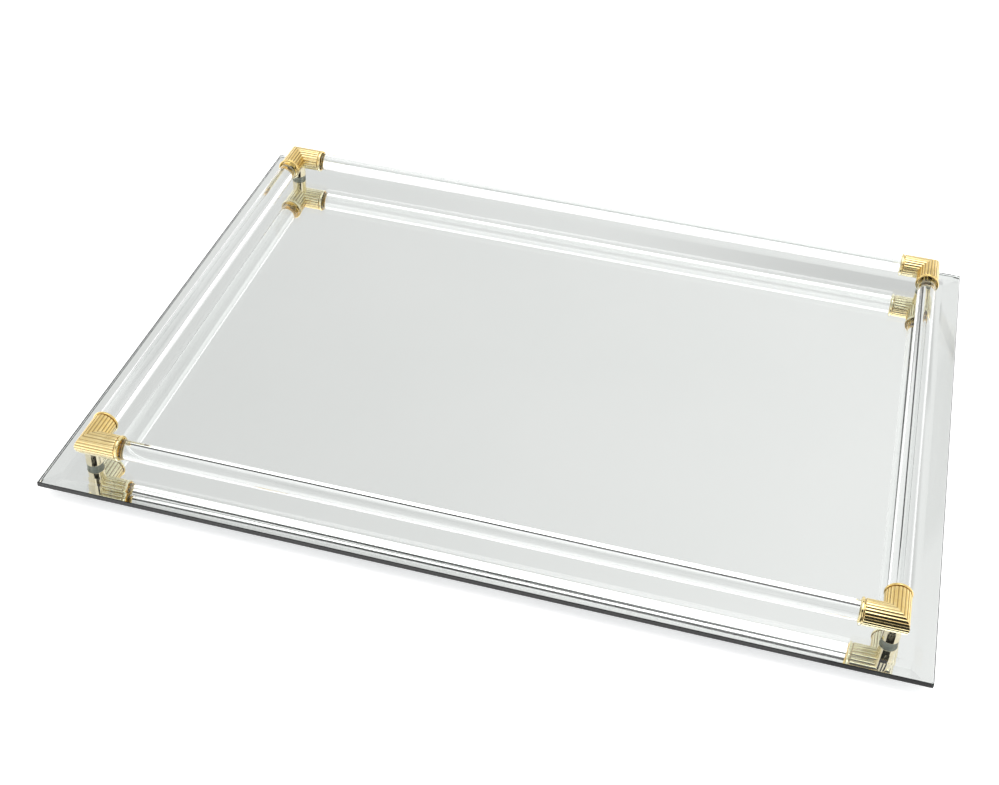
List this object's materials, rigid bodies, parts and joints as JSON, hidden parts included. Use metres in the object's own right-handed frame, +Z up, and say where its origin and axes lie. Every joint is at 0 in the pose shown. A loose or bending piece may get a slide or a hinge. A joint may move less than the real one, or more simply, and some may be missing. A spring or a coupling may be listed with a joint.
{
  "type": "mirrored vanity tray",
  "caption": "Rectangular bevelled mirror tray with a low gallery of clear rods held by reeded gold corner elbows on short round posts.",
  "frame": {"origin": "centre of the footprint, on the surface that the tray stands on", "axes": "+X along the width to the right, +Y from the front rod to the back rod, +Z up"},
  "size_m": [0.4064, 0.3048, 0.0294],
  "materials": {
    "mirror_glass": "clear polished float glass, faint green at the edge",
    "mirror_coat": "silvering on the upper side, grey protective paint below",
    "clear_rod": "clear polished acrylic",
    "gold_elbow": "gold plate, polished reeds",
    "gold_post": "gold plate, polished",
    "grommet": "soft grey-green bush, matt",
    "foot_rubber": "black rubber, matt",
    "steel": "zinc plated"
  },
  "bodies": {
    "root": {"mirror_glass": "mirror_glass", "mirror_back_coat": "mirror_coat", "rod_front": "clear_rod", "rod_back": "clear_rod", "rod_left": "clear_rod", "rod_right": "clear_rod", "corner_elbow_front_left": "gold_elbow", "corner_elbow_front_right": "gold_elbow", "corner_elbow_back_right": "gold_elbow", "corner_elbow_back_left": "gold_elbow", "post_front_left": "gold_post", "post_front_right": "gold_post", "post_back_right": "gold_post", "post_back_left": "gold_post", "grommet_front_left": "grommet", "grommet_front_right": "grommet", "grommet_back_right": "grommet", "grommet_back_left": "grommet", "foot_front_left": "foot_rubber", "foot_front_right": "foot_rubber", "foot_back_right": "foot_rubber", "foot_back_left": "foot_rubber", "screw_washer_front_left": "steel", "screw_washer_front_right": "steel", "screw_washer_back_right": "steel", "screw_washer_back_left": "steel", "screw_front_left": "steel", "screw_front_right": "steel", "screw_back_right": "steel", "screw_back_left": "steel"}
  },
  "joints": []
}
